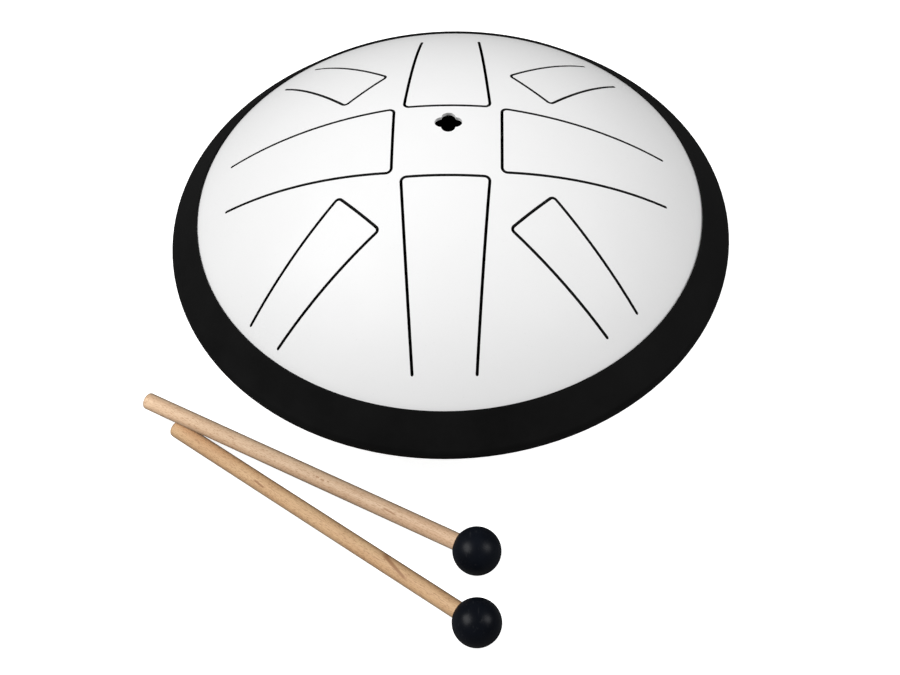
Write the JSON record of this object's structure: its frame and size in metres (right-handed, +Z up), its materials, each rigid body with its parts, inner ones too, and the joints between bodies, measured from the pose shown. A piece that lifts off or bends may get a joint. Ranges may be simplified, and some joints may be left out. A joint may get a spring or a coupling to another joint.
{
  "type": "steel tongue drum",
  "caption": "Steel tongue drum: a domed shell with slit tongues on a flat-bottomed bowl, joined under a rubber rim ring, with ball-headed mallets.",
  "frame": {"origin": "on the floor under the drum's axis, at the centre of the base ring's underside", "axes": "+Z up along the drum's axis; -Y towards the player, where the longest tongue and the mallets lie; +X to the player's right"},
  "size_m": [0.2734, 0.3249, 0.1167],
  "materials": {
    "white_coat": "satin powder coat",
    "weld_steel": "as welded",
    "black_rubber": "satin",
    "base_rubber": "matt",
    "zinc_steel": "zinc plated",
    "beech": "sanded, bare",
    "head_rubber": "satin"
  },
  "bodies": {
    "drum": {"upper_shell": "white_coat", "lower_shell": "white_coat", "seam_weld": "weld_steel", "rim_ring": "black_rubber", "base_ring": "base_rubber", "base_rivet_nuts": "zinc_steel", "base_washers": "zinc_steel", "base_screws": "zinc_steel"},
    "rear_mallet": {"rear_mallet_stick": "beech", "rear_mallet_head": "head_rubber"},
    "front_mallet": {"front_mallet_stick": "beech", "front_mallet_head": "head_rubber"}
  },
  "joints": [
    {"name": "rear_mallet_lift", "type": "slide", "parent": "drum", "child": "rear_mallet", "axis": [-0.1201, -0.2292, 0.9659], "range_m": [0, 0.12]},
    {"name": "front_mallet_slide", "type": "slide", "parent": "drum", "child": "front_mallet", "axis": [-0.5985, -0.8011, 0], "range_m": [0, 0.1]}
  ]
}
